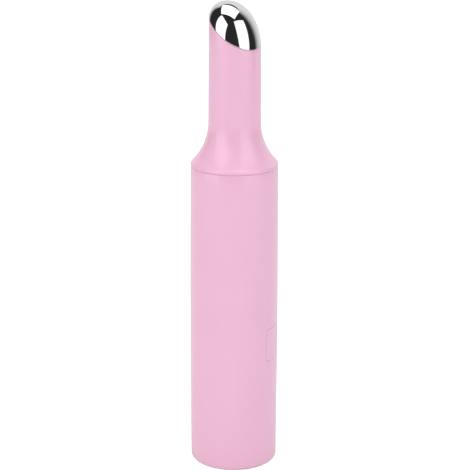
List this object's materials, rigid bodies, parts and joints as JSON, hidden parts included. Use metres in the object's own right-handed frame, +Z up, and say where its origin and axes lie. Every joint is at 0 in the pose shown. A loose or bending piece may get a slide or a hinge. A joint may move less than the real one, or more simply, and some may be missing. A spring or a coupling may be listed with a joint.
{
  "type": "eye massager",
  "caption": "Slim battery-powered eye massager: round barrel with a flush push button, a flared neck that unscrews, and a slanted polished metal head shaken by a small vibration motor.",
  "frame": {"origin": "centre of the barrel's flat foot, on the surface it stands on", "axes": "+Z up along the barrel towards the massage head; -Y is the front, the side that the button looks to, and the slanted massage face is turned 18.6 degrees from it towards -X; +X is to the viewer's right when the viewer faces the front"},
  "size_m": [0.0252, 0.0254, 0.1348],
  "materials": {
    "pink_plastic": "satin moulded plastic",
    "mirror_metal": "mirror-polished metal",
    "white_plastic": "moulded plastic",
    "board_green": "solder mask on glass-fibre board",
    "black_plastic": "moulded plastic",
    "black_rubber": "soft rubber",
    "spring_steel": "bright drawn wire",
    "gold_contact": "plated contact metal",
    "motor_steel": "plated steel",
    "tungsten": "sintered metal",
    "ferrite": "sintered ferrite",
    "cell_jacket": "plain printed sleeve",
    "red_wire": "wire insulation",
    "blue_wire": "wire insulation"
  },
  "bodies": {
    "barrel": {"barrel_shell": "pink_plastic", "chassis": "white_plastic", "control_board": "board_green", "switch_body": "black_plastic", "driver_chip": "black_plastic", "inductor": "ferrite", "battery_spring": "spring_steel", "spring_contact": "gold_contact", "ring_leaf": "gold_contact", "leaf_lead": "blue_wire", "chassis_screw_left": "motor_steel", "chassis_screw_right": "motor_steel", "board_screw_lower": "motor_steel", "board_screw_upper": "motor_steel"},
    "button": {"power_button": "pink_plastic", "switch_plunger": "white_plastic"},
    "battery": {"battery_cell": "cell_jacket"},
    "seal": {"shoulder_seal": "black_rubber"},
    "head_section": {"neck_shell": "pink_plastic", "massage_head": "mirror_metal", "head_seal": "black_rubber", "threaded_collar": "white_plastic", "contact_board": "board_green", "centre_contact": "gold_contact", "ring_contact": "gold_contact", "motor_can": "motor_steel", "motor_end_cap": "white_plastic", "magnet_ring": "ferrite", "terminal_plus": "gold_contact", "terminal_minus": "gold_contact", "motor_sleeve": "black_rubber", "red_lead": "red_wire", "blue_lead": "blue_wire", "collar_screw_left": "motor_steel", "collar_screw_right": "motor_steel"},
    "rotor": {"motor_shaft": "motor_steel", "armature": "tungsten", "eccentric_weight": "tungsten"}
  },
  "joints": [
    {"name": "button_press", "type": "slide", "parent": "barrel", "child": "button", "axis": [0, 1, 0], "range_m": [0, 0.0004], "stiffness_N_per_m": 600, "springref_m": -0.001},
    {"name": "battery_rise", "type": "slide", "parent": "barrel", "child": "battery", "axis": [0, 0, 1], "range_m": [0, 0.004]},
    {"name": "head_lift", "type": "slide", "parent": "barrel", "child": "seal", "axis": [0, 0, 1], "range_m": [0, 0.1]},
    {"name": "head_turn", "type": "hinge", "parent": "seal", "child": "head_section", "pos_m": [0, 0, 0.0885], "axis": [0, 0, 1], "range_deg": [0, 540]},
    {"name": "rotor_spin", "type": "hinge", "parent": "head_section", "child": "rotor", "pos_m": [0, 0, 0.104], "axis": [0, 0, 1], "continuous": true}
  ],
  "couplings": [
    {"joint": "battery_rise", "follows": "head_lift", "ratio": 0.04}
  ]
}
